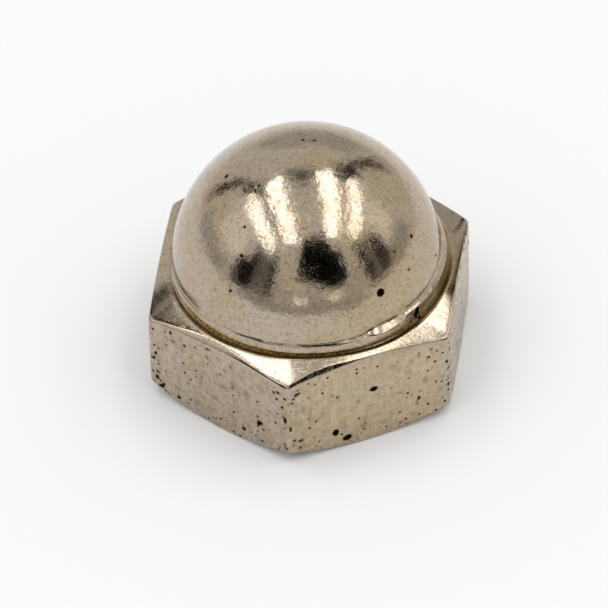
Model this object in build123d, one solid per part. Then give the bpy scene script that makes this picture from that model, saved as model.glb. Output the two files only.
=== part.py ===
from build123d import *
import os
from math import atan2, cos, pi, radians, sin, sqrt, tan

# A one-piece domed cap nut for an M10 coarse thread, 17 mm across its flats.
# Millimetres. The origin is the centre of the bearing face, and +Z runs up the thread's axis
# to the top of the dome. Two corners of the hexagon lie on +Y and -Y, two flats face +X and -X.

# The hexagon
across_flats = 17.0
corner_rounding = 0.25
top_chamfer_angle = 16.0       # slope of the turned shoulder, from level
bearing_face_diameter = 16.8   # where the bottom chamfer starts
bottom_chamfer_angle = 30.0

# The turned groove and collar between the hexagon and the dome
collar_diameter = 15.6
collar_underside = 6.66        # above the bearing face
collar_height = 0.55
collar_bevel_height = 0.2
groove_opening = 0.3           # from the shoulder up to the collar's underside, at the collar's side
groove_depth = 0.165           # from the collar's side in to the neck
groove_wall = 0.17             # the neck's straight wall, from the underside down to the floor's radius
groove_floor_radius = 0.215    # of the hollow floor, which breaks out through the shoulder

# The dome, a ball whose centre lies a little above the collar's underside
dome_diameter = 15.25
dome_centre_above_collar = 0.155

# The blind threaded hole, drilled and countersunk from the bearing face
thread_diameter = 10.0
thread_pitch = 1.5
hole_depth = 10.0              # to the shoulder of the drill point
drill_point_angle = 118.0
countersink_diameter = 10.8
countersink_angle = 120.0

# Sizes that follow from those above
across_corners = across_flats / cos(radians(30))
collar_radius = collar_diameter / 2
collar_top = collar_underside + collar_height
bevel_top = collar_top + collar_bevel_height
neck_radius = collar_radius - groove_depth
floor_centre_radius = neck_radius + groove_floor_radius
floor_centre_height = collar_underside - groove_wall
dome_radius = dome_diameter / 2
dome_centre = collar_underside + dome_centre_above_collar
drill_radius = (thread_diameter - thread_pitch) / 2
drill_tip_height = hole_depth + drill_radius / tan(radians(drill_point_angle / 2))
countersink_radius = countersink_diameter / 2
countersink_depth = (countersink_radius - drill_radius) / tan(radians(countersink_angle / 2))
blank_radius = across_corners / 2 + 1.0    # the turned profile runs out past the corners


def dome_radius_at(height):
    """Radius of the ball at a height above the bearing face."""
    return sqrt(dome_radius**2 - (height - dome_centre) ** 2)


def shoulder_height(radius):
    """Height of the top chamfer's cone at a distance from the axis."""
    inner_height = collar_underside - groove_opening
    return inner_height - (radius - collar_radius) * tan(radians(top_chamfer_angle))


def groove_lip():
    """Radius and height where the groove's hollow floor breaks out through the shoulder's cone."""
    slope = tan(radians(top_chamfer_angle))
    drop = floor_centre_height - shoulder_height(floor_centre_radius)
    # The reach out from the floor's centre solves reach**2 + (drop + slope * reach)**2 = radius**2.
    half = slope * drop / (1 + slope**2)
    rest = (groove_floor_radius**2 - drop**2) / (1 + slope**2)
    lip_radius = floor_centre_radius - half + sqrt(half**2 + rest)
    return lip_radius, shoulder_height(lip_radius)


def groove_floor_middle():
    """A point halfway along the floor's arc, between its lip and the foot of the neck's wall."""
    lip_radius, lip_height = groove_lip()
    lip_angle = atan2(lip_height - floor_centre_height, lip_radius - floor_centre_radius)
    middle_angle = (lip_angle - pi) / 2
    return (
        floor_centre_radius + groove_floor_radius * cos(middle_angle),
        floor_centre_height + groove_floor_radius * sin(middle_angle),
    )


def turned_profile():
    """Half of the nut's section as a lathe leaves it: both chamfers, groove, collar and dome."""
    face_radius = bearing_face_diameter / 2
    chamfer_rise = (blank_radius - face_radius) * tan(radians(bottom_chamfer_angle))
    bevel_radius = dome_radius_at(bevel_top)
    rise_angle = radians(45)
    with BuildSketch(Plane.XZ) as section:
        with BuildLine():
            Polyline(
                (0, 0),
                (face_radius, 0),
                (blank_radius, chamfer_rise),
                (blank_radius, shoulder_height(blank_radius)),
                groove_lip(),
            )
            ThreePointArc(groove_lip(), groove_floor_middle(), (neck_radius, floor_centre_height))
            Polyline(
                (neck_radius, floor_centre_height),
                (neck_radius, collar_underside),
                (collar_radius, collar_underside),
                (collar_radius, collar_top),
                (bevel_radius, bevel_top),
            )
            ThreePointArc(
                (bevel_radius, bevel_top),
                (dome_radius * cos(rise_angle), dome_centre + dome_radius * sin(rise_angle)),
                (0, dome_centre + dome_radius),
            )
            Line((0, dome_centre + dome_radius), (0, 0))
        make_face()
    return revolve(section.sketch, Axis.Z)


def hexagonal_bar():
    """The bar the nut is turned from, with its corners rounded and one of them on +Y."""
    with BuildPart() as bar:
        with BuildSketch():
            RegularPolygon(across_corners / 2, 6, rotation=30)
            fillet(vertices(), corner_rounding)
        extrude(amount=dome_centre + dome_radius + 1)
    return bar.part


def drilled_hole():
    """The tool shape of the hole: countersink, plain tap-drill bore and the drill's point."""
    below = 1.0
    with BuildSketch(Plane.XZ) as section:
        with BuildLine():
            Polyline(
                (0, -below),
                (countersink_radius, -below),
                (countersink_radius, 0),
                (drill_radius, countersink_depth),
                (drill_radius, hole_depth),
                (0, drill_tip_height),
                close=True,
            )
        make_face()
    return revolve(section.sketch, Axis.Z)


cap_nut = (turned_profile() & hexagonal_bar()) - drilled_hole()
if isinstance(cap_nut, ShapeList):
    cap_nut = cap_nut[0]
cap_nut.label = "cap_nut"

os.makedirs("parts", exist_ok=True)
export_step(cap_nut, "parts/cap_nut.step")
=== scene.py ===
from math import cos, pi, radians, sin, tan

import bmesh
import bpy
import numpy as np
from mathutils import Matrix, Vector


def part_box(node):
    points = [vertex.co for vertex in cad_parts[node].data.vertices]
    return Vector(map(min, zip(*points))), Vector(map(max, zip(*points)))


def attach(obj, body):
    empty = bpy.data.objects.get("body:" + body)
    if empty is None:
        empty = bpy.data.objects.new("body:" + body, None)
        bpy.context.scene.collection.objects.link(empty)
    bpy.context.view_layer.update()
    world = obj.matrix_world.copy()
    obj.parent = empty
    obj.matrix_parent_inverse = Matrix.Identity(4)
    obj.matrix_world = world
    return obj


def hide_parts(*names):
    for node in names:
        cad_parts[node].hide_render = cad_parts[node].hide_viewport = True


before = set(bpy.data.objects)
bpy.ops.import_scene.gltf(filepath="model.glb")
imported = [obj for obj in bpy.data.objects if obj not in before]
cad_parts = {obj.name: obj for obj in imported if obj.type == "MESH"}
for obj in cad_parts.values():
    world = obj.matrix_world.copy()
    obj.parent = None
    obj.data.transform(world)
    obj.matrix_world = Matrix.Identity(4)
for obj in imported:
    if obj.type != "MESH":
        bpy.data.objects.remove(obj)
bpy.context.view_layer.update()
mm = 0.001

# The cap nut. One piece of steel bar, 17 mm across its flats: chamfered at both ends, grooved under its
# collar and turned to a dome, drilled and tapped from below, then nickel plated. This one has been used: a
# blow has flattened a leaf-shaped spot on the collar, its edges are rubbed and the plating is pitted.

# Sizes are in millimetres and heights stand above the bearing face. The thread's axis is on Z, and angles
# run round it from +X to +Y, in degrees.
low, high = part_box("cap_nut")
across_flats = (high.x - low.x) / mm
dome_top = high.z / mm
corner_rounding = 0.4
shoulder_corner_rounding = 1.1      # of the shoulder's own outline, which is rubbed rounder
bearing_face_radius = 8.4
foot_slope = tan(radians(30))
shoulder_slope = tan(radians(20.5))
shoulder_inner_height = 6.53        # of the shoulder's cone where it would meet the collar's side
shoulder_lean = 0.018               # its rise towards +X: the upper end was turned a little askew
shoulder_crown = 0.010              # how far it swells above its cone, for a width of one millimetre
front_corner = -90
front_tip_turn = 0.11               # how far the shoulder's tip at this corner is tipped towards -X
side_corner = -30
side_tip_turn = 0.07                # and at this corner towards -Y
tip_flatness = 0.9                  # how nearly flat these two tips are across, where a cone is round
worn_corner = -150                  # the foot's corner that is rubbed the most
worn_depth = 0.22
groove_lip_radius = 8.10
neck_radius = 7.635
groove_floor_radius = 0.215
groove_floor_rise = 0.19            # of the hollow floor's centre above the groove's lip
collar_radius = 7.8
collar_taper = 0.1                  # how much wider the collar is at its foot than at its edge
collar_underside = 6.68
collar_edge_height = 7.06
collar_rise = 0.28                  # how much higher its edge is on the nick's side
bevel_height = 0.15
dome_radius = 7.625
dome_centre_height = dome_top - dome_radius
dome_shift = (-0.10, -0.02)         # the dome's centre stands a little off the collar's
nick_angle = -47.8                  # the flattened spot on the collar's edge
nick_half_angle = 9.8
nick_top = 7.61
nick_foot = 7.22
nick_proud = 0.29                   # how far its lower lip was pushed out


def column_angles(count):
    """Angles round the axis, closer together at the six corners: equal steps along the running sum of a
    density that is one on the flats and 4.5 at the corners, in bells 1.4 degrees wide."""
    fine = np.linspace(-pi, pi, 7201)
    from_corner = np.degrees(fine % (pi / 3)) - 30
    density = 1 + 3.5 * np.exp(-(from_corner / 1.4) ** 2)
    total = np.concatenate([[0], np.cumsum((density[1:] + density[:-1]) / 2)])
    return np.interp(np.arange(count) / count * total[-1], total, fine)


def bell(angle, middle, width):
    """One where the angle is the middle, falling off in a bell on both sides of it, round the circle. The
    middle and the width are in degrees."""
    away = (np.degrees(angle) - middle + 180) % 360 - 180
    return np.exp(-(away / width) ** 2)


def waves(angle, seed, lowest, highest):
    """An uneven line round the circle: sines from the lowest to the highest number of waves, with seeded
    phases and heights that fall as the number rises, scaled so that it mostly stays between -1 and 1."""
    chance = np.random.default_rng(seed)
    number = np.arange(lowest, highest + 1)
    phase = chance.uniform(0, 2 * pi, number.size)
    height = chance.uniform(0.5, 1, number.size) / np.sqrt(number / lowest)
    return (np.sin(np.outer(angle, number) + phase) @ height) / np.sqrt((height**2).sum() * 2)


def bar_radius(angle, rounding):
    """Distance from the axis to the bar's side: half the width over the cosine of the angle from the
    nearest flat's middle, and at a corner the outer side of a circle of the rounding's radius in it."""
    from_flat = (angle + pi / 6) % (pi / 3) - pi / 6
    from_corner = pi / 6 - np.abs(from_flat)
    flat = across_flats / 2 / np.cos(from_flat)
    centre = (across_flats / 2 - rounding) / cos(pi / 6)
    beside = rounding**2 - (centre * np.sin(from_corner)) ** 2
    arc = centre * np.cos(from_corner) + np.sqrt(np.maximum(beside, 0))
    tangent = np.arctan2(rounding / 2, centre + rounding * cos(pi / 6))
    return np.where(from_corner < tangent, arc, flat)


angles = column_angles(640)


def softened_rows(stations):
    """Rows of (radius, height) for every column, along the straight lines from station to station. A
    station is its surface's name, its point, the distance over which its corner is rounded (or two, before
    and after it), the steps round it and the steps to the next. A rounded corner is the quadratic curve
    that leaves one line and joins the next at that distance, or at 0.4 of the line before it and 0.6 of the
    line after it, where the line is short. Gives the rows and the surface each row is on."""
    columns = angles.size
    points = np.array([np.stack([np.broadcast_to(x, columns) for x in s[1]], -1) for s in stations])
    ahead = np.diff(points, axis=0)
    length = np.maximum(np.linalg.norm(ahead, axis=-1), 1e-9)
    ahead = ahead / length[..., None]
    rows = []
    names = []
    for i, (name, _, rounding, bend_steps, run_steps) in enumerate(stations):
        corner = points[i]
        start = end = corner
        if bend_steps:
            before, after = np.broadcast_to(rounding, (2, columns))
            start = corner - ahead[i - 1] * np.minimum(before, 0.4 * length[i - 1])[:, None]
            end = corner + ahead[i] * np.minimum(after, 0.6 * length[i])[:, None]
        bend = np.linspace(0, 1, bend_steps + 1)[:, None, None]
        rows.append(start * (1 - bend) ** 2 + corner * 2 * bend * (1 - bend) + end * bend**2)
        names += [name] * (bend_steps + 1)
        if i + 1 == len(stations):
            break
        next_rounding, next_bend_steps = stations[i + 1][2:4]
        before = np.broadcast_to(next_rounding, (2, columns))[0]
        spare = np.minimum(before, 0.4 * length[i])[:, None] if next_bend_steps else 0
        run = np.linspace(0, 1, run_steps + 1)[1:-1, None, None]
        rows.append(end * (1 - run) + (points[i + 1] - ahead[i] * spare) * run)
        names += [name] * (run_steps - 1)
    return np.concatenate(rows), np.array(names)


def skirt_rows(angle):
    """The skin from the bearing face's edge to the foot of the dome: the turned outline, cut off at the
    bar's side, with the wear, the uneven collar and the nick as offsets of its points round the axis. Gives
    the rows, the surface each is on, and the climb angle on the dome's ball where they end."""
    turn = np.degrees(angle)
    toward_x = np.cos(angle)
    side = bar_radius(angle, corner_rounding)
    top_side = bar_radius(angle, shoulder_corner_rounding)

    # The foot's chamfer starts further in at the rubbed corner, and its edge with the flats is uneven.
    worn = worn_depth * bell(angle, worn_corner, 9) + 0.03 * waves(angle, 5, 3, 40)
    face_radius = bearing_face_radius - worn
    foot_height = np.maximum((side - face_radius) * foot_slope + 0.035 * waves(angle, 21, 50, 190), 0.04)
    foot_roll = 0.14 + 0.03 * waves(angle, 22, 8, 90)

    # The upper edge is rubbed to a small bevel, widest over the left front flat and beside the front corner.
    # It rolls over into the flat below it and the shoulder above it, which is roundest at the corners.
    edge_wear = (0.06 + 0.17 * bell(angle, -124, 17) + 0.2 * bell(angle, -78, 10)
                 + 0.05 * bell(angle, -40, 10))
    worn_side = top_side - (1.0 + 0.3 * bell(angle, -124, 22)) * edge_wear
    flat_roll = 0.22 + 0.15 * bell(angle, -123, 20) + 0.04 * waves(angle, 11, 2, 30)
    shoulder_roll = (0.22 + 0.18 * bell(angle, -78, 9) + 0.06 * bell(angle, 12, 22)
                     + 0.03 * waves(angle, 12, 2, 30) + top_side - bar_radius(angle, 1.8))
    lip_roll = 0.1 + 0.3 * bell(angle, -133, 13)
    lip_roll_inside = np.full_like(lip_roll, 0.1)

    def shoulder(radius):
        """Height of the top chamfer at a distance from the axis: a leaning cone, steeper or flatter at some
        turns, whose two front tips are nearly flat across and tipped to one side."""
        steeper = 0.08 * bell(angle, -100, 16) + 0.17 * bell(angle, -164, 11) - 0.07 * bell(angle, -18, 20)
        height = (shoulder_inner_height - (radius - collar_radius) * shoulder_slope
                  + shoulder_lean * radius * toward_x + steeper * (side - radius))
        tips = ((front_corner, front_tip_turn, 14), (side_corner, side_tip_turn, 25))
        for corner, tip_turn, reach in tips:
            from_tip = angle - radians(corner)
            flattening = tip_flatness * shoulder_slope * (1 - np.cos(from_tip))
            tipping = tip_turn * np.sin(from_tip)
            height = height + radius * (tipping + flattening) * bell(angle, corner, reach)
        return height

    # The groove's floor is part of a circle in section, shallower on the right, where dirt fills it.
    underside = (collar_underside - 0.2 * bell(angle, -50, 15) - 0.06 * bell(angle, -112, 14)
                 + 0.012 * waves(angle, 3, 2, 9))
    floor_radius = neck_radius + groove_floor_radius
    groove_lip_height = shoulder(groove_lip_radius)
    floor_height = np.minimum(groove_lip_height + groove_floor_rise, underside - 0.04)
    hollow = groove_floor_radius * (1 - 0.6 * bell(angle, 5, 32))
    floor = [
        ("groove", (floor_radius + groove_floor_radius * cos(t), floor_height + hollow * sin(t)), 0, 0, 1)
        for t in np.radians(np.linspace(-84, -175, 6))
    ]

    # The collar's ledge and the crest of the bevel over it rise on the nick's side. The nick is a leaf that
    # draws both to its own heights and pushes the ledge out.
    rise = collar_rise / (1 + np.exp(-(turn + 60) / 6)) / (1 + np.exp((turn - 90) / 15))
    rubbed = bell(angle, -61, 8)
    ledge = collar_edge_height + rise + 0.02 * waves(angle, 8, 2, 9) + 0.012 * waves(angle, 9, 12, 70)
    crest = ledge + bevel_height * (1 + 0.3 * waves(angle, 14, 5, 30)) * (1 - 0.6 * rubbed) + 0.45 * rise
    crest = crest - 0.15 * bell(angle, -33, 15)
    leaf = np.maximum(1 - np.abs((turn - nick_angle) / nick_half_angle) ** 3, 0)
    ledge = ledge + (nick_foot - ledge) * leaf
    crest = crest + (nick_top - crest) * leaf
    ledge_radius = collar_radius - collar_taper / 2 + 0.1 * rubbed + nick_proud * leaf

    def on_dome(climb):
        """The dome's ball at a climb angle, with its shift to one side."""
        shift = toward_x * dome_shift[0] + np.sin(angle) * dome_shift[1]
        return dome_radius * np.cos(climb) + shift, dome_centre_height + dome_radius * np.sin(climb)

    # Each flat has a station partway up, above which its rows lie closer, for its worn upper end.
    climb = np.arcsin((crest - dome_centre_height) / dome_radius)
    stations = [
        ("face", (face_radius - 0.3, 0), 0, 0, 1),
        ("foot", (face_radius, 0), 0.05, 2, 2),
        ("side", (side, foot_height), foot_roll, 4, 20),
        ("side", (side, shoulder(side) - 2.1), 0.3, 2, 15),
        ("edge", (side, shoulder(side) - edge_wear), (flat_roll, 0.4 * edge_wear), 5, 1),
        ("shoulder", (worn_side, shoulder(worn_side)), (0.4 * edge_wear, shoulder_roll), 5, 7),
        ("shoulder", (groove_lip_radius, groove_lip_height), (lip_roll, lip_roll_inside), 4, 1),
        *floor,
        ("groove", (neck_radius, underside - 0.02), 0.05, 2, 1),
        ("collar", (collar_radius + collar_taper / 2, underside), 0.05, 3, 5),
        ("collar", (collar_radius - collar_taper / 2, ledge - 0.06), 0, 0, 2),
        ("bevel", (ledge_radius, ledge), 0.04, 2, 5),
        ("dome", on_dome(climb), 0.05, 3, 1),
        ("dome", on_dome(climb + 0.02), 0, 0, 1),
    ]
    rows, names = softened_rows(stations)

    # The shoulder swells a little between its edges, as a parabola over its width.
    width = top_side - groove_lip_radius
    inward = (top_side - rows[..., 0]) / width
    crown = shoulder_crown * width**2 * 4 * inward * (1 - inward)
    rows[..., 1] += np.where((names == "shoulder")[:, None], np.maximum(crown, 0), 0)
    return rows, names, climb + 0.02


def round_grid(rows, angle, shift=(0, 0)):
    """Points in space of rows of (radius, height): each is turned to its column's angle about the axis,
    and moved sideways by the shift."""
    radius, height = rows[..., 0], rows[..., 1]
    x = radius * np.cos(angle) + np.reshape(shift[0], (-1, 1))
    y = radius * np.sin(angle) + np.reshape(shift[1], (-1, 1))
    return np.stack([x, y, height], -1)


def dome_rows(first_climb, steps):
    """The dome: equal steps of climb angle on a ball, from the first one in each column to one step short
    of the top."""
    share = (np.arange(1, steps) / steps)[:, None]
    climb = first_climb * (1 - share) + pi / 2 * share
    return np.stack([dome_radius * np.cos(climb), dome_centre_height + dome_radius * np.sin(climb)], -1)


skirt, surface_names, first_climb = skirt_rows(angles)
dome = dome_rows(first_climb, 40)
dome_points = round_grid(dome, angles, dome_shift)
skin = np.concatenate([round_grid(skirt, angles), dome_points])
surface_names = np.concatenate([surface_names, ["dome"] * len(dome)])

# The marks on the skin. Pits are where the plating has blistered off and rust has eaten in. On each flat
# they are (millimetres along it from its middle, height, half length, half height). On the dome, where they
# are only round rusty spots in the material, the first number is the angle round the axis. On the other
# turned surfaces the radius comes after that angle. The stains are discoloured, with no depth; those on the
# turned surfaces are a crease's painted shadow.
pit_floor = 0.07
pit_wall = 0.08                     # how far in from its edge a pit reaches its floor
flat_pits = {
    -60: [(0.31, 3.79, 0.25, 0.17), (1.34, 3.47, 0.09, 0.08), (-2.03, 1.29, 0.19, 0.22),
          (-1.31, 0.66, 0.26, 0.19), (3.03, 2.04, 0.11, 0.11), (2.9, 1.7, 0.08, 0.08),
          (-0.66, 3.17, 0.06, 0.08), (-1.72, 2.0, 0.05, 0.05), (4.5, 4.0, 0.11, 0.08),
          (-0.38, 1.13, 0.07, 0.05), (-3.04, 2.76, 0.1, 0.06), (-4.28, 5.42, 0.12, 0.05),
          (-4.36, 5.1, 0.12, 0.1), (-4.54, 4.85, 0.09, 0.06), (-4.51, 1.63, 0.1, 0.07),
          (-4.09, 1.52, 0.08, 0.12), (-4.19, 1.0, 0.13, 0.07), (-4.6, 1.3, 0.07, 0.06),
          (2.22, 0.72, 0.06, 0.06), (3.8, 5.5, 0.07, 0.05), (3.0, 5.3, 0.06, 0.05),
          (4.85, 3.61, 0.08, 0.1), (4.88, 2.41, 0.1, 0.12), (4.6, 1.2, 0.08, 0.08),
          (2.42, 3.79, 0.05, 0.05), (1.78, 5.3, 0.05, 0.05), (2.6, 2.44, 0.05, 0.05),
          (-3.2, 0.75, 0.1, 0.05), (3.6, 5.0, 0.05, 0.05), (4.1, 2.9, 0.06, 0.08),
          (4.75, 4.2, 0.07, 0.09), (-4.75, 2.6, 0.06, 0.12), (-4.4, 3.9, 0.06, 0.08),
          (-3.6, 4.6, 0.05, 0.05), (0.9, 2.2, 0.05, 0.05), (-2.2, 4.2, 0.05, 0.07)],
    -120: [(2.92, 2.06, 0.2, 0.12), (2.8, 1.95, 0.09, 0.25), (0.28, 3.35, 0.16, 0.08),
           (1.08, 1.87, 0.08, 0.09), (-0.43, 0.6, 0.08, 0.08), (-3.31, 5.5, 0.07, 0.14),
           (-2.48, 3.65, 0.09, 0.09), (-2.35, 5.04, 0.1, 0.09), (-0.69, 5.7, 0.14, 0.06),
           (-4.1, 0.96, 0.16, 0.12), (4.72, 3.24, 0.09, 0.2), (4.62, 3.45, 0.07, 0.1),
           (4.28, 5.15, 0.13, 0.08), (3.96, 5.0, 0.09, 0.09), (4.17, 4.6, 0.09, 0.09),
           (4.72, 4.9, 0.1, 0.08), (4.53, 4.14, 0.08, 0.1), (4.44, 3.49, 0.06, 0.06),
           (4.66, 1.35, 0.08, 0.08), (4.3, 1.0, 0.1, 0.06), (4.75, 1.1, 0.12, 0.06),
           (4.2, 0.75, 0.08, 0.06), (-4.4, 1.5, 0.1, 0.16), (-3.7, 0.6, 0.2, 0.07),
           (-3.95, 1.15, 0.1, 0.12), (-4.4, 3.74, 0.08, 0.06), (-4.45, 3.28, 0.09, 0.09),
           (-4.38, 1.95, 0.08, 0.1), (-3.13, 4.95, 0.14, 0.04), (-2.18, 2.23, 0.08, 0.06),
           (2.6, 0.87, 0.07, 0.06), (0.92, 5.25, 0.06, 0.06)],
    0: [(-4.5, 3.6, 0.12, 0.1), (-4.3, 2.3, 0.1, 0.12), (-4.6, 1.7, 0.1, 0.07), (-1.35, 2.2, 0.2, 0.07),
        (4.15, 5.95, 0.15, 0.12), (3.75, 6.03, 0.1, 0.1), (3.45, 6.1, 0.17, 0.12), (2.85, 6.15, 0.12, 0.13),
        (2.1, 6.22, 0.16, 0.1), (0.5, 6.3, 0.2, 0.12), (-0.4, 6.3, 0.1, 0.08), (-1.7, 6.2, 0.12, 0.09),
        (-2.6, 6.1, 0.14, 0.08), (3.1, 5.4, 0.1, 0.14), (1.4, 5.6, 0.12, 0.08),
        (-4.7, 3.0, 0.08, 0.08), (0.6, 4.4, 0.2, 0.06), (0.9, 3.15, 0.15, 0.1), (2.15, 1.5, 0.12, 0.12),
        (-1.2, 1.6, 0.2, 0.08), (4.78, 1.0, 0.16, 0.32), (4.5, 4.6, 0.15, 0.15)],
    60: [(2.1, 3.1, 0.14, 0.1), (-1.4, 1.7, 0.1, 0.1), (3.4, 4.2, 0.07, 0.07)],
    120: [(-2.6, 2.4, 0.2, 0.15), (0.9, 4.1, 0.09, 0.08), (2.2, 1.1, 0.12, 0.12)],
    180: [(1.7, 2.9, 0.15, 0.12), (-2.9, 1.6, 0.09, 0.08), (-0.4, 4.4, 0.07, 0.07),
          (3.6, 3.9, 0.1, 0.08)],
}
dome_pits = [
    (-48.3, 9.42, 0.17, 0.22), (-18.5, 10.83, 0.1, 0.11), (-7.0, 8.46, 0.07, 0.12),
    (-119.5, 9.56, 0.08, 0.08), (-119.1, 11.41, 0.08, 0.1), (-171.1, 13.01, 0.11, 0.11),
    (105.0, 14.3, 0.07, 0.07), (79.0, 14.3, 0.07, 0.07), (34.9, 12.48, 0.06, 0.06),
    (-29.6, 9.62, 0.07, 0.08), (-125.3, 12.5, 0.06, 0.08), (-7.1, 8.94, 0.05, 0.07),
    (-33.2, 10.93, 0.07, 0.07), (-3.6, 12.11, 0.05, 0.05), (5.1, 12.52, 0.05, 0.05),
    (-127.5, 9.17, 0.05, 0.05), (-100.5, 10.53, 0.06, 0.06), (-17.9, 9.0, 0.05, 0.05),
    (-5.0, 9.71, 0.06, 0.04), (-148.5, 12.59, 0.05, 0.05),
]
turned_pits = [
    (-31.6, 7.82, 7.1, 0.2, 0.22), (-33.4, 7.85, 6.93, 0.13, 0.1), (-30.6, 7.74, 6.6, 0.16, 0.2),
    (-36.0, 7.8, 6.7, 0.1, 0.1), (-32.6, 7.8, 6.95, 0.2, 0.2), (-33.2, 7.95, 6.6, 0.2, 0.14),
    (29.4, 9.75, 1.0, 0.2, 0.5),
]
flat_stains = {
    -120: [(2.02, 3.83, 0.24, 0.26), (-0.26, 2.19, 0.36, 0.2), (-1.22, 3.05, 0.1, 0.5),
           (1.03, 3.85, 0.16, 0.4), (-2.9, 1.4, 0.3, 0.14), (0.5, 4.7, 0.2, 0.12)],
    -60: [(-3.6, 3.2, 0.12, 0.5), (1.9, 2.9, 0.3, 0.14), (3.4, 3.3, 0.16, 0.3), (0.9, 1.1, 0.4, 0.1)],
}

# A crease runs up the shoulder from its right-hand corner. Its dark line is painted shadow: small pits in a
# row, coloured black as rust, along a wider brown stain of painted shadow.
for t in np.linspace(0, 0.8, 14):
    turned_pits.append((30.8 - 7.4 * t, 9.5 - 0.9 * t, 6.04 + 0.33 * t, 0.06, 0.06))
painted_crease_shadow = [(30.0 - 7.4 * t, 9.4 - 0.9 * t, 6.08 + 0.33 * t, 0.17, 0.17) for t in np.linspace(0, 1, 9)]


def on_flats(table):
    """The centres in space of marks on the flats, and their half lengths and half heights."""
    for flat, marks in table.items():
        out = np.array([cos(radians(flat)), sin(radians(flat))])
        for along, height, half_length, half_height in marks:
            x, y = out * across_flats / 2 + np.array([-out[1], out[0]]) * along
            yield x, y, height, half_length, half_height


def on_turned(marks):
    """The same for marks on the turned surfaces. A mark that gives no radius is on the dome's ball."""
    for turn, *radius, height, half_length, half_height in marks:
        out = radius[0] if radius else max(dome_radius**2 - (height - dome_centre_height) ** 2, 0) ** 0.5
        yield out * cos(radians(turn)), out * sin(radians(turn)), height, half_length, half_height


def past_edge(points, marks):
    """For every point, the distance in millimetres past the edge of the nearest mark, negative inside it and
    one at most. A mark is an ellipse on the skin: the reach is the distance from its middle, sideways over
    its half length and otherwise over its half height, and is one at its edge."""
    nearest = np.full(points.shape[:-1], 1.0)
    for x, y, height, half_length, half_height in marks:
        away = points - (x, y, height)
        sideways = (away[..., 1] * x - away[..., 0] * y) / np.hypot(x, y)
        rest = np.sqrt(np.maximum((away**2).sum(-1) - sideways**2, 0))
        reach = np.hypot(sideways / half_length, rest / half_height)
        nearest = np.minimum(nearest, (reach - 1) * min(half_length, half_height))
    return nearest


def outward(points):
    """Unit normals of a grid that closes round its columns: the cross product of the central differences
    along its columns and its rows."""
    along = np.roll(points, -1, 1) - np.roll(points, 1, 1)
    up = np.gradient(points, axis=0)
    normal = np.cross(along, up)
    return normal / np.maximum(np.linalg.norm(normal, axis=-1, keepdims=True), 1e-12)


pit = past_edge(skin, [*on_flats(flat_pits), *on_turned(turned_pits)])
stain_and_painted_shadow = past_edge(skin, [*on_flats(flat_stains), *on_turned(painted_crease_shadow)])
pit_depth = pit_floor * np.clip(-pit / pit_wall, 0, 1) ** 0.5
skin = skin - outward(skin) * pit_depth[..., None]

# The blind hole: drilled, countersunk and tapped M10 coarse from the bearing face.
thread_pitch = 1.5
thread_radius = 5.0
drill_radius = 4.25
countersink_radius = 5.4
countersink_slope = tan(radians(60))
thread_fade = 8.3                   # above this the tap's taper lets the thread run out
thread_end = 9.3
hole_depth = 10.0
drill_tip = 12.55
bore_angles = angles[::5]


def bore_rows(angle):
    """Rows of (radius, height) that follow the thread: each goes once round as a helix and meets the row one
    turn on, eight to a pitch, on its root, flanks and crest. Past the ends of the thread the rows are laid
    together on its end rings. The radius is the larger of the thread's and the countersink's cone."""
    phase = np.array([0, 1, 3.5, 6, 8, 10, 12.5, 15]) / 16      # shares of a pitch
    depth = np.array([1, 1, 0.5, 0, 0, 0, 0.5, 1])              # one at the root, nothing at the crest
    turn = np.arange(-1, 8)
    step = (turn[:, None] + phase).ravel()[:, None]
    height = np.clip(thread_pitch * (step + angle / (2 * pi)), 0, thread_end)
    fade = np.clip((thread_end - height) / (thread_end - thread_fade), 0, 1)
    thread = drill_radius + (thread_radius - drill_radius) * np.tile(depth, turn.size)[:, None] * fade
    return np.stack([np.maximum(thread, countersink_radius - height * countersink_slope), height], -1)


closed_angles = np.append(bore_angles, bore_angles[0] + 2 * pi)
thread_rows = bore_rows(closed_angles)
thread_grid = round_grid(thread_rows, closed_angles)
shank = np.array([[[drill_radius, hole_depth]]]) + np.zeros((1, bore_angles.size, 1))
shank_ring = round_grid(shank, bore_angles)


def grid_faces(first, rows, columns, closed=True):
    """Four-sided faces over a grid of vertices numbered along its rows, facing out of it when its rows rise
    and its columns go round counterclockwise."""
    i, j = np.meshgrid(np.arange(rows - 1), np.arange(columns if closed else columns - 1), indexing="ij")
    after = (j + 1) % columns
    return first + np.stack([i * columns + j, i * columns + after, (i + 1) * columns + after,
                             (i + 1) * columns + j], -1).reshape(-1, 4)


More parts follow.
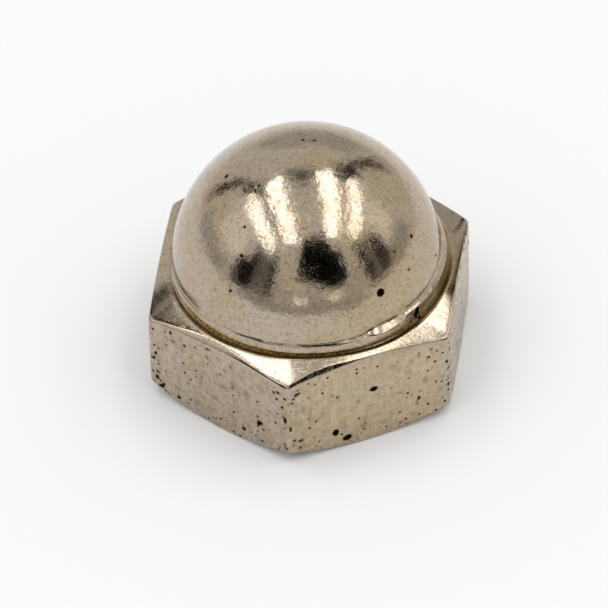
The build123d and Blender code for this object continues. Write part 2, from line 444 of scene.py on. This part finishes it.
def nut_mesh():
    """One closed skin: the outside from the bearing face's edge to the top, the thread, the drilled end, and
    the flat bearing face as fans that join five columns of the outside to one of the hole."""
    columns = angles.size
    bore_columns = bore_angles.size
    stride = columns // bore_columns
    outside = skin.reshape(-1, 3)
    top = len(outside)
    thread_first = top + 1
    shank_first = thread_first + thread_grid[..., 0].size
    tip = shank_first + bore_columns
    points = np.concatenate([outside, [[*dome_shift, dome_top]], thread_grid.reshape(-1, 3),
                             shank_ring.reshape(-1, 3), [[0, 0, drill_tip]]])
    column = np.arange(columns)
    last_ring = top - columns
    cap = np.stack([last_ring + column, last_ring + (column + 1) % columns, np.full(columns, top)], -1)
    spoke = np.arange(bore_columns)
    next_spoke = (spoke + 1) % bore_columns
    run_out = thread_first + (len(thread_grid) - 1) * (bore_columns + 1)
    wall = np.stack([run_out + spoke + 1, run_out + spoke,
                     shank_first + spoke, shank_first + next_spoke], -1)
    cone = np.stack([shank_first + next_spoke, shank_first + spoke, np.full(bore_columns, tip)], -1)
    face = np.stack([thread_first + spoke, thread_first + spoke + 1,
                     *[(stride * (spoke + 1) - k) % columns for k in range(stride + 1)]], -1)
    thread = grid_faces(thread_first, len(thread_grid), bore_columns + 1, closed=False)[:, ::-1]
    faces = [f.tolist() for f in (grid_faces(0, len(skin), columns), cap, wall, cone, face, thread)]
    mesh = bpy.data.meshes.new("cap_nut_dressed")
    mesh.from_pydata(points * mm, [], sum(faces, []))
    return mesh


def add_attribute(mesh, name, values):
    """A number at each vertex: the given ones on the outside's grid, and the last of them on the rest."""
    whole = np.full(len(mesh.vertices), values.ravel()[-1], np.float32)
    whole[:values.size] = values.ravel()
    mesh.attributes.new(name, "FLOAT", "POINT").data.foreach_set("value", whole)


nut_skin = nut_mesh()
skin_radius = np.hypot(skin[..., 0], skin[..., 1])
skin_height = skin[..., 2]

# The flats keep the bar's drawn finish, and the rest is turned.
on_side = (surface_names == "side")[:, None] * np.ones(angles.size)
on_dome = (surface_names == "dome")[:, None] * np.ones(angles.size)

# Grime fills the groove and thins out round it, with little on the left; its golden colour is partly
# painted, for the gold the nickel reflects into the groove. On the right a painted golden reflection lies
# over it.
grime_radius = 8.0
grime_height = 6.47
grime_reach = 0.25 + 0.05 * bell(angles, -132, 20) + 0.2 * bell(angles, 0, 30)
grime = np.exp(-((np.maximum(skin_radius - grime_radius, 0) / 0.08) ** 2)
               - ((skin_height - grime_height) / grime_reach) ** 2)
grime = grime * (0.9 + 0.2 * waves(angles, 31, 2, 24) - 0.3 * bell(angles, 6, 24))
grime = grime * (1 - np.minimum(1.5 * bell(angles, -172, 25), 0.95))
# A painted golden reflection on the right, on the plating and the grime round the groove.
painted_gold_reflection = bell(angles, 3, 22) * ((skin_height > 5.7) & (skin_height < 7.3))

# Specks gather along the flats' edges: near the corners, just above the foot and under the upper edge.
corner_distance = 9.5               # of the flats' corners from the axis
from_corner = np.abs((angles + pi / 6) % (pi / 3) - pi / 6) - pi / 6
near_edge = np.exp(-((from_corner * corner_distance / 0.9) ** 2))
near_edge = near_edge + np.exp(-((skin_height - 0.9) / 0.5) ** 2)
near_edge = np.clip(near_edge + 0.6 * np.exp(-((skin_height - 5.6) / 0.4) ** 2), 0, 1)

# Painted shade and dark reflections, with some tarnish, darken three stretches of the shoulder and two of
# the collar's bevel.
painted_shade_and_tarnish = 0.6 * bell(angles, -157, 7) + 0.32 * bell(angles, 8, 13) + 0.2 * bell(angles, 150, 20)
painted_shade_and_tarnish = painted_shade_and_tarnish * (surface_names == "shoulder")[:, None] * (skin_height > 5.6)
painted_dark_bevel_and_tarnish = 0.4 * bell(angles, -26, 13) + 0.3 * bell(angles, -100, 22)
painted_shade_and_tarnish = np.clip(painted_shade_and_tarnish + painted_dark_bevel_and_tarnish * (surface_names == "bevel")[:, None], 0, 1)

add_attribute(nut_skin, "pit_edge", np.minimum(pit, 0.3))
add_attribute(nut_skin, "stain_and_shadow_edge", np.minimum(stain_and_painted_shadow, 0.3))
add_attribute(nut_skin, "painted_gold_reflection", painted_gold_reflection)
add_attribute(nut_skin, "drawn", on_side)
add_attribute(nut_skin, "domed", on_dome)
add_attribute(nut_skin, "grime", grime)
add_attribute(nut_skin, "near_edge", near_edge * on_side)
add_attribute(nut_skin, "painted_shade_and_tarnish", painted_shade_and_tarnish)
welded = bmesh.new()
welded.from_mesh(nut_skin)
bmesh.ops.remove_doubles(welded, verts=welded.verts, dist=1e-8)
welded.to_mesh(nut_skin)
welded.free()
nut_skin.polygons.foreach_set("use_smooth", np.ones(len(nut_skin.polygons), bool))
nut_skin.set_sharp_from_angle(angle=radians(42))
cap_nut = bpy.data.objects.new("cap_nut_dressed", nut_skin)
bpy.context.scene.collection.objects.link(cap_nut)


def add_node(tree, kind, inputs=None, output=0, **settings):
    """A node with its settings and inputs. An input that is a socket is linked, any other is its value."""
    made = tree.nodes.new(kind)
    for name, value in settings.items():
        setattr(made, name, value)
    for name, value in (inputs or {}).items():
        if isinstance(value, bpy.types.NodeSocket):
            tree.links.new(value, made.inputs[name])
        else:
            made.inputs[name].default_value = value
    return made.outputs[output]


def math_of(tree, kind, *values):
    """A Math node over one, two or three values."""
    return add_node(tree, "ShaderNodeMath", dict(enumerate(values)), operation=kind)


def between(tree, value, low_end, high_end, low_value=0.0, high_value=1.0):
    """A smooth step from the low value to the high one, as the value goes from the low end to the high."""
    return add_node(tree, "ShaderNodeMapRange",
                    {"Value": value, "From Min": low_end, "From Max": high_end, "To Min": low_value,
                     "To Max": high_value}, interpolation_type="SMOOTHSTEP")


def noise(tree, vector, scale, detail=2.0, roughness=0.5):
    """A Noise Texture's grey value over the vector."""
    return add_node(tree, "ShaderNodeTexNoise",
                    {"Vector": vector, "Scale": scale, "Detail": detail, "Roughness": roughness})


def stretched(tree, vector, scale, turn=(0, 0, 0)):
    """The vector turned and then scaled along each of its axes."""
    return add_node(tree, "ShaderNodeMapping", {"Vector": vector, "Rotation": turn, "Scale": scale})


def mixed(tree, share, one, other):
    """One colour passing to the other as the share goes from nothing to one."""
    made = tree.nodes.new("ShaderNodeMix")
    made.data_type = "RGBA"
    for index, value in ((0, share), (6, one), (7, other)):
        if isinstance(value, bpy.types.NodeSocket):
            tree.links.new(value, made.inputs[index])
        else:
            made.inputs[index].default_value = value
    return made.outputs[2]


# The colours of the plating, of what lies on it and of painted light. The warm tint is a painted
# reflection for the flat that faces front and right, and the white tint one for the flat that faces right.
pale_nickel = (0.475, 0.400, 0.310, 1)
yellow_nickel = (0.47, 0.365, 0.245, 1)
brown_film = (0.31, 0.235, 0.14, 1)
mottled_film = (0.25, 0.195, 0.125, 1)
dark_freckle = (0.22, 0.165, 0.10, 1)
pale_freckle = (0.62, 0.53, 0.41, 1)
plate_in_painted_gold = (0.33, 0.24, 0.115, 1)
painted_warm_reflection = (0.64, 0.50, 0.34, 1)
painted_white_reflection = (0.52, 0.475, 0.41, 1)
drawn_streak = (0.34, 0.25, 0.155, 1)
dark_patch = (0.24, 0.18, 0.11, 1)
pale_patch = (0.66, 0.57, 0.44, 1)
pit_rim = (0.25, 0.17, 0.09, 1)
stain_and_shadow_brown = (0.16, 0.125, 0.075, 1)
speck_brown = (0.035, 0.019, 0.010, 1)
rust_black = (0.018, 0.010, 0.006, 1)
# grime, its gold partly a painted inter-reflection
gold_painted_grime = (0.31, 0.195, 0.05, 1)
brown_grime = (0.12, 0.062, 0.010, 1)
grime_in_painted_gold = (0.50, 0.39, 0.21, 1)
# the near-black of painted shade and dark reflections, also used for tarnish
painted_shade_black = (0.06, 0.05, 0.035, 1)
white = (1, 1, 1, 1)
dull_black = (0.10, 0.08, 0.06, 1)


def nickel_plate():
    """Nickel plating that has yellowed, in millimetres of the nut: satin along the bar on the flats, and
    brighter and finely turned on the rest. It has clouds of brown film, specks round the points of Voronoi
    cells, and what the attributes mark: pits, stains and a crease's painted shadow, grime partly painted as
    gold reflection, painted golden reflection, and painted shade and dark reflections with tarnish."""
    material = bpy.data.materials.new("nickel_plate")
    material.use_nodes = True
    tree = material.node_tree
    tree.nodes.clear()
    in_metres = add_node(tree, "ShaderNodeTexCoord", output=3)
    place = add_node(tree, "ShaderNodeVectorMath", {0: in_metres, 3: 1 / mm}, operation="SCALE")
    pit_distance, stain_and_shadow_distance, drawn, domed, grime, near_edge, painted_shade_and_tarnish, painted_gold_reflection = [
        add_node(tree, "ShaderNodeAttribute", attribute_name=name, output=2)
        for name in ("pit_edge", "stain_and_shadow_edge", "drawn", "domed", "grime", "near_edge", "painted_shade_and_tarnish", "painted_gold_reflection")]

    # The textures: turning rings, streaks along the bar, grain, ripple, and scratches in two directions.
    parts = tree.nodes.new("ShaderNodeSeparateXYZ")
    tree.links.new(place, parts.inputs[0])
    x, y, z = parts.outputs
    radius = math_of(tree, "SQRT", math_of(tree, "MULTIPLY_ADD", x, x, math_of(tree, "MULTIPLY", y, y)))
    radius_safe = math_of(tree, "MAXIMUM", radius, 0.05)
    outline = math_of(tree, "MULTIPLY_ADD", z, 1.3, math_of(tree, "MULTIPLY", radius, -1.0))
    lathe = add_node(tree, "ShaderNodeCombineXYZ", {
        "X": math_of(tree, "DIVIDE", x, radius_safe),
        "Y": math_of(tree, "DIVIDE", y, radius_safe),
        "Z": math_of(tree, "MULTIPLY", outline, 8.0)})
    turning = noise(tree, lathe, 1.0, 2.0, 0.5)
    streaks = noise(tree, stretched(tree, place, (4.0, 4.0, 0.35)), 1.0, 5.0, 0.75)
    fine_grain = noise(tree, place, 5.0, 2.0, 0.55)
    coarse_grain = noise(tree, place, 2.6, 2.0, 0.5)
    ripple = noise(tree, place, 0.9, 1.0, 0.5)
    scratches = math_of(
        tree, "ADD",
        between(tree, noise(tree, stretched(tree, place, (1.2, 15, 15), (0.5, 0.9, 0.3)), 1.0), 0.60, 0.70),
        between(tree, noise(tree, stretched(tree, place, (15, 1.2, 15), (0.2, 0.5, -0.5)), 1.0), 0.60, 0.70))

    # The film's colour, which is warmer towards +X on the flats and the dome.
    cloud = noise(tree, place, 0.3, 3.0, 0.6)
    blotch = noise(tree, place, 1.3, 4.0, 0.65)
    mottle = noise(tree, place, 6.0, 4.0, 0.8)
    flat_or_dome = math_of(tree, "ADD", drawn, domed)
    warm = math_of(tree, "MULTIPLY_ADD", x, math_of(tree, "MULTIPLY", flat_or_dome, 0.02), cloud)
    warm = math_of(tree, "MULTIPLY_ADD", flat_or_dome, 0.1, math_of(tree, "SUBTRACT", warm, 0.1))
    colour = mixed(tree, between(tree, warm, 0.35, 0.65), pale_nickel, yellow_nickel)
    colour = mixed(tree, between(tree, blotch, 0.52, 0.75, 0.0, 0.65), colour, brown_film)
    colour = mixed(tree, between(tree, mottle, 0.5, 0.72, 0.0, 0.8), colour, mottled_film)
    freckles = noise(tree, place, 5.5, 2.0, 0.55)
    colour = mixed(tree, between(tree, freckles, 0.56, 0.74, 0.0, 0.7), colour, dark_freckle)
    colour = mixed(tree, between(tree, freckles, 0.44, 0.26, 0.0, 0.45), colour, pale_freckle)
    # The painted golden reflection on the plating.
    painted_gold_share = math_of(tree, "MULTIPLY", painted_gold_reflection, between(tree, blotch, 0.3, 0.6, 0.5, 1.0))
    colour = mixed(tree, painted_gold_share, colour, plate_in_painted_gold)
    # A lighter, warmer painted reflection on the right part of the flat that faces front and right.
    front_right = math_of(tree, "MULTIPLY", between(tree, x, 0.0, 2.0), between(tree, y, -4.6, -5.6))
    painted_warm_share = math_of(tree, "MULTIPLY", front_right, math_of(tree, "MULTIPLY", drawn, 0.35))
    colour = mixed(tree, painted_warm_share, colour, painted_warm_reflection)
    patches = noise(tree, place, 2.2, 3.0, 0.6)
    # The flat that faces right gets a whiter painted reflection; then the bar's streaks and patches.
    for drawn_share, drawn_colour in (
            (between(tree, x, 7.8, 8.4, 0.0, 0.5), painted_white_reflection),
            (between(tree, streaks, 0.4, 0.65, 0.0, 0.35), drawn_streak),
            (between(tree, patches, 0.56, 0.72, 0.0, 0.5), dark_patch),
            (between(tree, patches, 0.55, 0.3, 0.0, 0.35), pale_patch)):
        colour = mixed(tree, math_of(tree, "MULTIPLY", drawn_share, drawn), colour, drawn_colour)

    # Pits and specks, with ragged edges. The dome's pits are round spots, a quarter wider than listed.
    rag = math_of(tree, "MULTIPLY", math_of(tree, "SUBTRACT", noise(tree, place, 12.0), 0.5), 0.12)
    for *middle, half_length, half_height in on_turned(dome_pits):
        reach = add_node(tree, "ShaderNodeVectorMath", {0: place, 1: middle}, output=1, operation="DISTANCE")
        past_rim = math_of(tree, "SUBTRACT", reach, 1.25 * (half_length * half_height) ** 0.5)
        pit_distance = math_of(tree, "MINIMUM", pit_distance, past_rim)

    def specks(scale, edge_gain, drawn_gain, smallest, largest, widest):
        """Specks round the points of a Voronoi Texture, up to the widest in its own cells. The cell's
        chance, with the gains near an edge and on the flats, says how wide each is, from the smallest
        chance that has one to the largest."""
        settings = {"Vector": place, "Scale": scale}
        distance = add_node(tree, "ShaderNodeTexVoronoi", settings)
        cell_colour = add_node(tree, "ShaderNodeTexVoronoi", settings, output=1)
        chance = add_node(tree, "ShaderNodeSeparateColor", {0: cell_colour})
        chance = math_of(tree, "MULTIPLY_ADD", drawn, drawn_gain, chance)
        chance = math_of(tree, "MULTIPLY_ADD", near_edge, edge_gain, chance)
        edge = math_of(tree, "SUBTRACT", distance, between(tree, chance, smallest, largest, -0.06, widest))
        return between(tree, math_of(tree, "ADD", edge, rag), 0.02, -0.02)

    speck_share = math_of(tree, "MAXIMUM", specks(2.7, 0.55, 0.18, 0.72, 1.2, 0.22),
                          specks(1.5, 0.75, 0.0, 0.95, 1.6, 0.24))
    pit_share = between(tree, math_of(tree, "ADD", pit_distance, rag), 0.03, -0.02)
    rim_share = between(tree, math_of(tree, "ADD", pit_distance, rag), 0.12, 0.0, 0.0, 0.45)
    colour = mixed(tree, rim_share, colour, pit_rim)
    # Stains on the flats, and the crease's painted shadow.
    stain_and_shadow_share = between(tree, math_of(tree, "ADD", stain_and_shadow_distance, rag), 0.08, -0.12, 0.0, 0.55)
    colour = mixed(tree, stain_and_shadow_share, colour, stain_and_shadow_brown)
    colour = mixed(tree, math_of(tree, "MULTIPLY", speck_share, 0.9), colour, speck_brown)

    # Grime, its gold partly painted reflection, and painted shade with tarnish, each broken up by noise, lie
    # over the specks and under the pits.
    grime_noise = math_of(tree, "MULTIPLY_ADD", blotch, 0.6, -0.65)
    grime_noise = math_of(tree, "MULTIPLY_ADD", mottle, 0.7, grime_noise)
    grime_share = between(tree, math_of(tree, "ADD", grime_noise, grime), 0.05, 0.8, 0.0, 0.95)
    grime_colour = mixed(tree, between(tree, freckles, 0.40, 0.62), gold_painted_grime, brown_grime)
    # and a lighter painted golden reflection on the grime
    grime_colour = mixed(tree, math_of(tree, "MULTIPLY", painted_gold_reflection, 0.9), grime_colour, grime_in_painted_gold)
    colour = mixed(tree, grime_share, colour, grime_colour)
    # Painted shade and dark reflections, with some tarnish, broken up by noise.
    uneven = math_of(tree, "ADD", math_of(tree, "MULTIPLY_ADD", mottle, 1.4, -0.7),
                     math_of(tree, "MULTIPLY_ADD", blotch, 1.0, -0.5))
    painted_shade_level = math_of(tree, "MULTIPLY_ADD", uneven, math_of(tree, "SQRT", painted_shade_and_tarnish), painted_shade_and_tarnish)
    painted_shade_share = between(tree, painted_shade_level, 0.1, 0.9, 0.0, 0.9)
    colour = mixed(tree, painted_shade_share, colour, painted_shade_black)
    colour = mixed(tree, pit_share, colour, rust_black)
    rusty = math_of(tree, "MAXIMUM", pit_share, speck_share)

    # Roughness: satin on the flats, near a mirror on the turned rest, and matt in grime and rust.
    roughness = math_of(tree, "MULTIPLY_ADD", drawn, 0.17, 0.12)
    roughness = math_of(tree, "MULTIPLY_ADD", math_of(tree, "SUBTRACT", blotch, 0.5), 0.1, roughness)
    roughness = math_of(tree, "MULTIPLY_ADD", grime_share, 0.4, roughness)
    roughness = math_of(tree, "MAXIMUM", roughness, rusty)

    # Bump, in millimetres: the grains above, scratches that are deeper in some clouds, and eaten specks.
    turned = math_of(tree, "SUBTRACT", 1.0, drawn)
    height = math_of(tree, "MULTIPLY", streaks, math_of(tree, "MULTIPLY", drawn, 0.006))
    height = math_of(tree, "MULTIPLY_ADD", turning, math_of(tree, "MULTIPLY", turned, 0.0008), height)
    grain_height = math_of(tree, "MULTIPLY_ADD", drawn, 0.0014, 0.0035)
    height = math_of(tree, "MULTIPLY_ADD", fine_grain, grain_height, height)
    height = math_of(tree, "MULTIPLY_ADD", coarse_grain, math_of(tree, "MULTIPLY", domed, 0.012), height)
    height = math_of(tree, "MULTIPLY_ADD", ripple, math_of(tree, "MULTIPLY", domed, 0.02), height)
    scratch_depth = between(tree, cloud, 0.42, 0.6, -0.0006, -0.003)
    height = math_of(tree, "MULTIPLY_ADD", scratches, scratch_depth, height)
    height = math_of(tree, "MULTIPLY_ADD", rusty, -0.02, height)
    bump = add_node(tree, "ShaderNodeBump", {"Height": height, "Strength": 1.0, "Distance": mm})

    surface = add_node(tree, "ShaderNodeBsdfPrincipled", {
        "Base Color": colour, "Metallic": 1.0, "Roughness": roughness, "Normal": bump,
        "Specular Tint": mixed(tree, rusty, white, dull_black)})
    output = tree.nodes.new("ShaderNodeOutputMaterial")
    tree.links.new(surface, output.inputs["Surface"])
    return material


nut_skin.materials.append(nickel_plate())
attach(cap_nut, "root")
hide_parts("cap_nut")

# The studio. The nut stands on a pale paper floor in a pale room. Round it is a small light tent, turned a
# little from the nut, whose lit walls, seams and dark openings the nickel mirrors. It is made of glowing
# cards that only mirrors see, and four lamps that light the nut. Its sizes are in metres.
tent_turn = radians(17)
tent_right = np.array([cos(tent_turn), sin(tent_turn), 0])
tent_front = np.array([sin(tent_turn), -cos(tent_turn), 0])


def plain_material(name, colour, glow=None):
    """A matt surface of one colour, or one that only gives off light, and that fades to nothing where the
    fade of its points does."""
    material = bpy.data.materials.new(name)
    material.use_nodes = True
    tree = material.node_tree
    tree.nodes.clear()
    if glow is None:
        surface = add_node(tree, "ShaderNodeBsdfDiffuse", {"Color": colour})
    else:
        fade = add_node(tree, "ShaderNodeAttribute", attribute_name="fade", output=2)
        surface = add_node(tree, "ShaderNodeMixShader", {
            0: between(tree, fade, 0.0, 1.0), 1: add_node(tree, "ShaderNodeBsdfTransparent"),
            2: add_node(tree, "ShaderNodeEmission", {"Color": colour, "Strength": glow})})
    output = tree.nodes.new("ShaderNodeOutputMaterial")
    tree.links.new(surface, output.inputs["Surface"])
    return material


floor_size = 4.0
floor_mesh = bpy.data.meshes.new("floor")
floor_mesh.from_pydata([(-floor_size, -floor_size, 0), (floor_size, -floor_size, 0),
                        (floor_size, floor_size, 0), (-floor_size, floor_size, 0)], [], [(0, 1, 2, 3)])
floor_mesh.materials.append(plain_material("floor_paper", (0.8, 0.8, 0.8, 1)))
floor = bpy.data.objects.new("floor", floor_mesh)
bpy.context.scene.collection.objects.link(floor)

room_colour = (1.0, 0.995, 0.965, 1)
room_level = 0.78
world = bpy.data.worlds.new("pale_room")
bpy.context.scene.world = world
world.use_nodes = True
world.node_tree.nodes["Background"].inputs["Color"].default_value = room_colour
world.node_tree.nodes["Background"].inputs["Strength"].default_value = room_level


def strip_lamp(name, across, height, wide, long, level, tip):
    """A flat lamp that runs along the tent's depth, at a distance across from the middle, tipped from
    facing down. Its power goes with its size, so that the level sets how bright it looks."""
    forward = 0.025
    place = tent_right * across + tent_front * forward + np.array([0, 0, height])
    data = bpy.data.lights.new(name, "AREA")
    data.shape = "RECTANGLE"
    data.size = wide
    data.size_y = long
    data.energy = level * pi * wide * long
    data.color = (0.98, 1.0, 1.07)
    lamp = bpy.data.objects.new(name, data)
    turn = Matrix.Rotation(tent_turn, 4, "Z") @ Matrix.Rotation(tip, 4, "Y")
    lamp.matrix_world = Matrix.Translation(place) @ turn
    lamp.visible_camera = False
    bpy.context.scene.collection.objects.link(lamp)


for hand in (-1, 1):
    strip_lamp("ceiling_lamp", hand * 0.175, 0.5, 0.12, 0.6, 2.5, 0)
    strip_lamp("wall_lamp", hand * 0.31, 0.40, 0.14, 0.48, 2.0, hand * pi / 2)


def mirror_only(name, points, faces, fade, level, warmth=0.0):
    """A glowing card that only mirrors see, as bright as its level. Warmth takes some green and three times
    as much blue out of its white."""
    mesh = bpy.data.meshes.new(name)
    mesh.from_pydata(points, [], faces)
    mesh.attributes.new("fade", "FLOAT", "POINT").data.foreach_set("value", np.array(fade, np.float32))
    mesh.materials.append(plain_material(name, (1.0, 1.0 - 0.1 * warmth, 1.0 - 0.3 * warmth, 1), level))
    made = bpy.data.objects.new(name, mesh)
    for ray in ("camera", "diffuse", "shadow", "transmission"):
        setattr(made, "visible_" + ray, False)
    bpy.context.scene.collection.objects.link(made)


def round_card(name, azimuths, elevations, level, away=0.25, soft=0.3, warmth=0.0):
    """A card bent round the nut, some distance away, between two azimuths from -Y towards +X and two
    elevations above a point inside the dome. It is a fan of triangles on a sphere, whose outline is a
    rectangle of angles with well rounded corners. The soft share of it fades out towards the rim."""
    count = 40
    middle = (0, 0, 0.01)
    turn = np.linspace(0, 2 * pi, count, endpoint=False)
    across = np.append(np.sign(np.cos(turn)) * np.abs(np.cos(turn)) ** 0.5, 0)
    upward = np.append(np.sign(np.sin(turn)) * np.abs(np.sin(turn)) ** 0.5, 0)
    a = np.radians(np.mean(azimuths) + across * np.ptp(azimuths) / 2)
    e = np.radians(np.mean(elevations) + upward * np.ptp(elevations) / 2)
    toward = np.stack([np.sin(a) * np.cos(e), -np.cos(a) * np.cos(e), np.sin(e)], -1)
    rim = np.arange(count)
    fan = np.stack([rim, (rim + 1) % count, np.full(count, count)], -1)
    fade = np.append(np.zeros(count), 1 / soft)
    mirror_only(name, toward * away + middle, fan.tolist(), fade, level, warmth)


def ceiling_line(name, start, end, wide, level):
    """A straight card under the tent's roof, from one point to another. Each point and the width are given
    in heights of the roof, to the right and to the front of the nut. The card fades out from its middle
    line to its two sides."""
    height = 0.45
    start, end = [height * (p[0] * tent_right + p[1] * tent_front) for p in (start, end)]
    beside = np.cross((0, 0, 1), end - start)
    beside = beside / np.linalg.norm(beside) * wide * height / 2
    points = [p + side * beside + (0, 0, height + 0.01) for side in (-1, 0, 1) for p in (start, end)]
    mirror_only(name, points, [(0, 1, 3, 2), (2, 3, 5, 4)], [0, 0, 1.4, 1.4, 0, 0], level)


# The tent from the left round to the back, the glints low in front, and then the seams of its roof.
round_card("left_wall", (-97, -55), (14, 44), 1.05, 0.30, 0.35, 0.2)
round_card("left_wall_top", (-114, -48), (36, 45), 0.9, 0.302)
round_card("left_wall_foot", (-117, -58), (-1, 14), 0.50, 0.28)
round_card("left_back_seam", (-128, -115), (-2, 44), 0.03, 0.25, 0.7)
round_card("left_front_opening", (-62, -36), (-4, 28), 0.0, 0.22, 0.55)
round_card("left_front_top", (-51, -36), (10, 42), 0.05, 0.23, 0.6)
round_card("left_front_post", (-44, -20), (-4, 42), 0.2, 0.24, 0.5)
round_card("left_front_slot", (-30, -18), (-6, 44), 0.03, 0.21, 0.7)
round_card("lens", (-4, 40), (16, 58), 0.0, 0.2, 0.25)
round_card("lens_side", (14, 48), (10, 47), 0.0, 0.21, 0.3)
round_card("right_front_slot", (57, 69), (-4, 42), 0.02, 0.21, 0.6)
round_card("right_front_post", (59, 84), (-4, 41), 0.22, 0.24, 0.5)
round_card("right_front_opening", (72, 91), (-4, 41), 0.04, 0.21, 0.7)
round_card("right_wall", (86, 117), (17, 44), 1.1, 0.30, 0.35)
round_card("right_wall_top", (75, 145), (38, 45), 0.9, 0.302)
round_card("right_wall_foot", (84, 118), (-2, 17), 0.50, 0.28)
round_card("back_wall", (158, 212), (2, 31), 0.55, 0.31)
round_card("right_back_seam", (145, 160), (-2, 49), 0.1, 0.25, 0.7)
round_card("front_glint", (-5, 7), (-2, 8), 1.7, 0.2, 0.7, 0.5)
round_card("front_glint", (20, 40), (0, 9), 1.4, 0.2, 0.7, 0.5)
round_card("front_low", (-25, 62), (-2, 14), 0.6, 0.26)
round_card("floor_end", (-56, 62), (-8.5, 1), 0.46, 0.062)
for hand in (-1, 1):
    ceiling_line("roof_seam", (hand * 0.56, -0.52), (hand * 0.56, 0.5), 0.13, 0.6 + 0.2 * hand)
    ceiling_line("roof_corner", (hand * 0.55, -0.45), (hand * 1.02, -0.86), 0.5, 0.0)
round_card("roof_shade", (160, 226), (51, 79), 0.15, 0.4, 0.8)
ceiling_line("roof_front", (-0.2, 0.68), (0.25, 0.68), 0.26, 0.3)

# The camera is fitted to the photo by the nut's corners, its circles and the dome's outline.
lens_length = 420.6                 # this and the sensor's width are in millimetres
sensor_width = 36
camera_azimuth = radians(8.492)
camera_elevation = radians(43.059)
camera_roll = radians(-1.607)
camera_distance = 0.400
camera_aim = Vector((0, 0, 6.32 * mm))
camera_shift_right = -0.294 * mm
camera_shift_up = -2.331 * mm
back = Vector((sin(camera_azimuth) * cos(camera_elevation), -cos(camera_azimuth) * cos(camera_elevation),
               sin(camera_elevation)))
right = Vector((cos(camera_azimuth), sin(camera_azimuth), 0))
up = back.cross(right)
right_rolled = right * cos(camera_roll) + up * sin(camera_roll)
up_rolled = up * cos(camera_roll) - right * sin(camera_roll)
camera_data = bpy.data.cameras.new("camera")
camera_data.sensor_width = sensor_width
camera_data.lens = lens_length
camera_data.clip_start = 0.01
camera_data.clip_end = 20
camera = bpy.data.objects.new("camera", camera_data)
place = (camera_aim + back * camera_distance + right_rolled * camera_shift_right
         + up_rolled * camera_shift_up)
turn = Matrix((right_rolled, up_rolled, back)).transposed().to_4x4()
camera.matrix_world = Matrix.Translation(place) @ turn
bpy.context.scene.collection.objects.link(camera)
bpy.context.scene.camera = camera

bpy.context.scene.view_settings.view_transform = "Standard"
